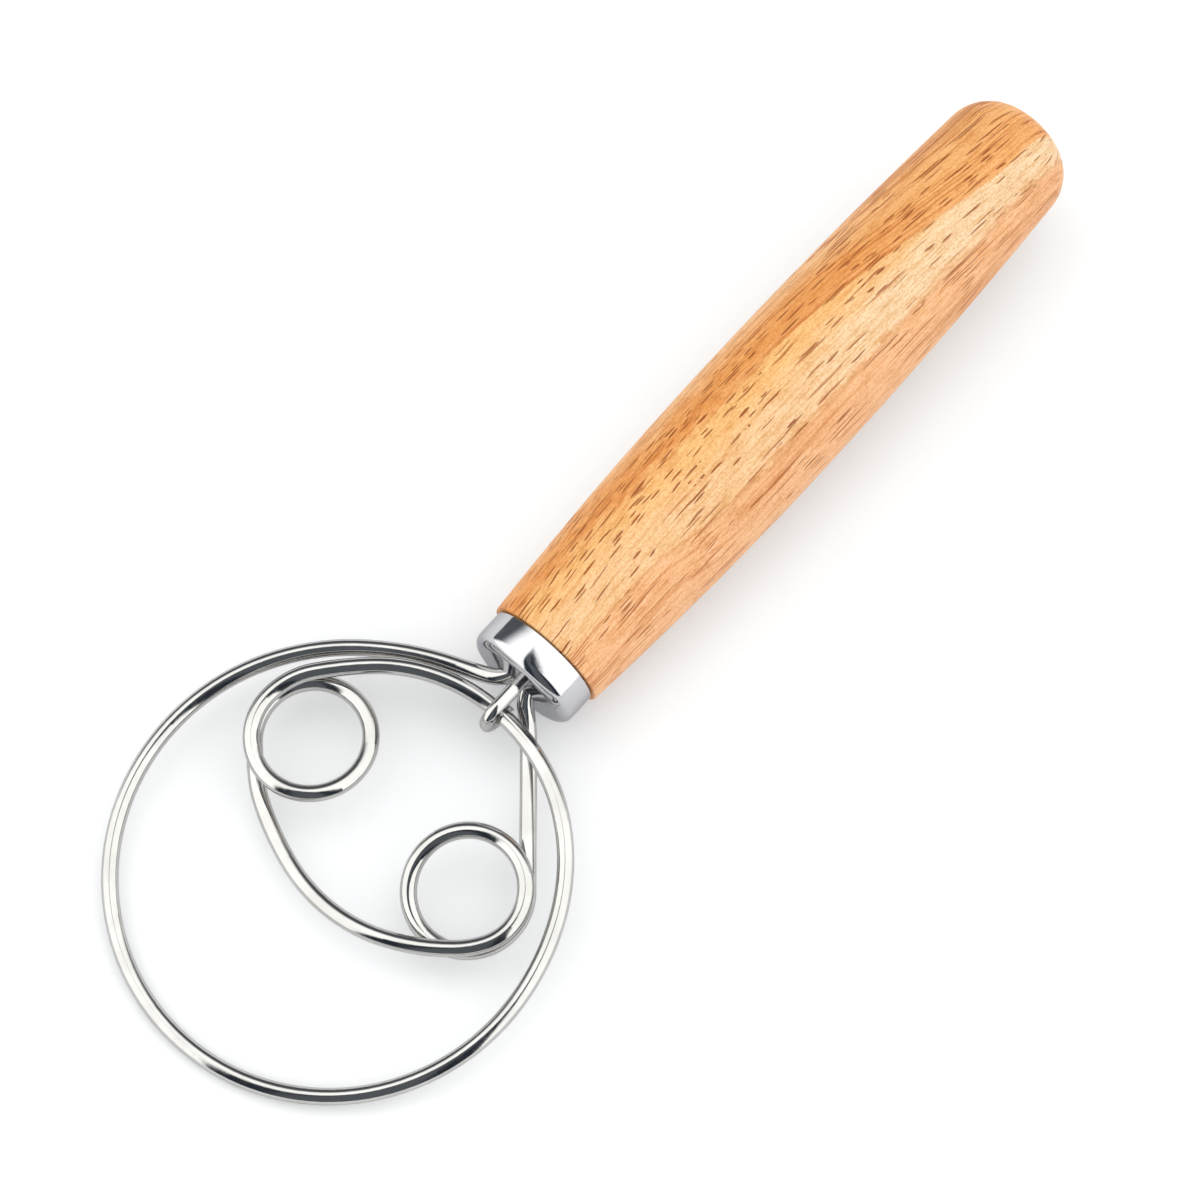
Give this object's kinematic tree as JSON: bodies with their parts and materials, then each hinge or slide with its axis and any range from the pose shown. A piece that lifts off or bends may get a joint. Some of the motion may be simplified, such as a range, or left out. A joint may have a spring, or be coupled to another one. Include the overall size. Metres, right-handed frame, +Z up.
{
  "type": "dough whisk",
  "caption": "Hand whisk for dough: turned beech handle, polished steel cap and one bent steel wire that forms a large ring with small curls inside, tied to the cap by a wire hook.",
  "frame": {"origin": "on the table, under the middle of the part's bounding box, as it lies on its barrel and on the ring's far end", "axes": "+X from the butt of the handle towards the ring's far end, +Z up from the table, +Y completes a right-handed frame"},
  "size_m": [0.2236, 0.0814, 0.0291],
  "materials": {
    "beech": "oiled, satin",
    "polished_cap": "mirror polished",
    "polished_wire": "bright drawn, polished",
    "resin": "cast"
  },
  "bodies": {
    "root": {"handle": "beech", "ferrule": "polished_cap", "whisk_wire": "polished_wire", "retaining_hook": "polished_wire", "bonding_resin": "resin"}
  },
  "joints": []
}
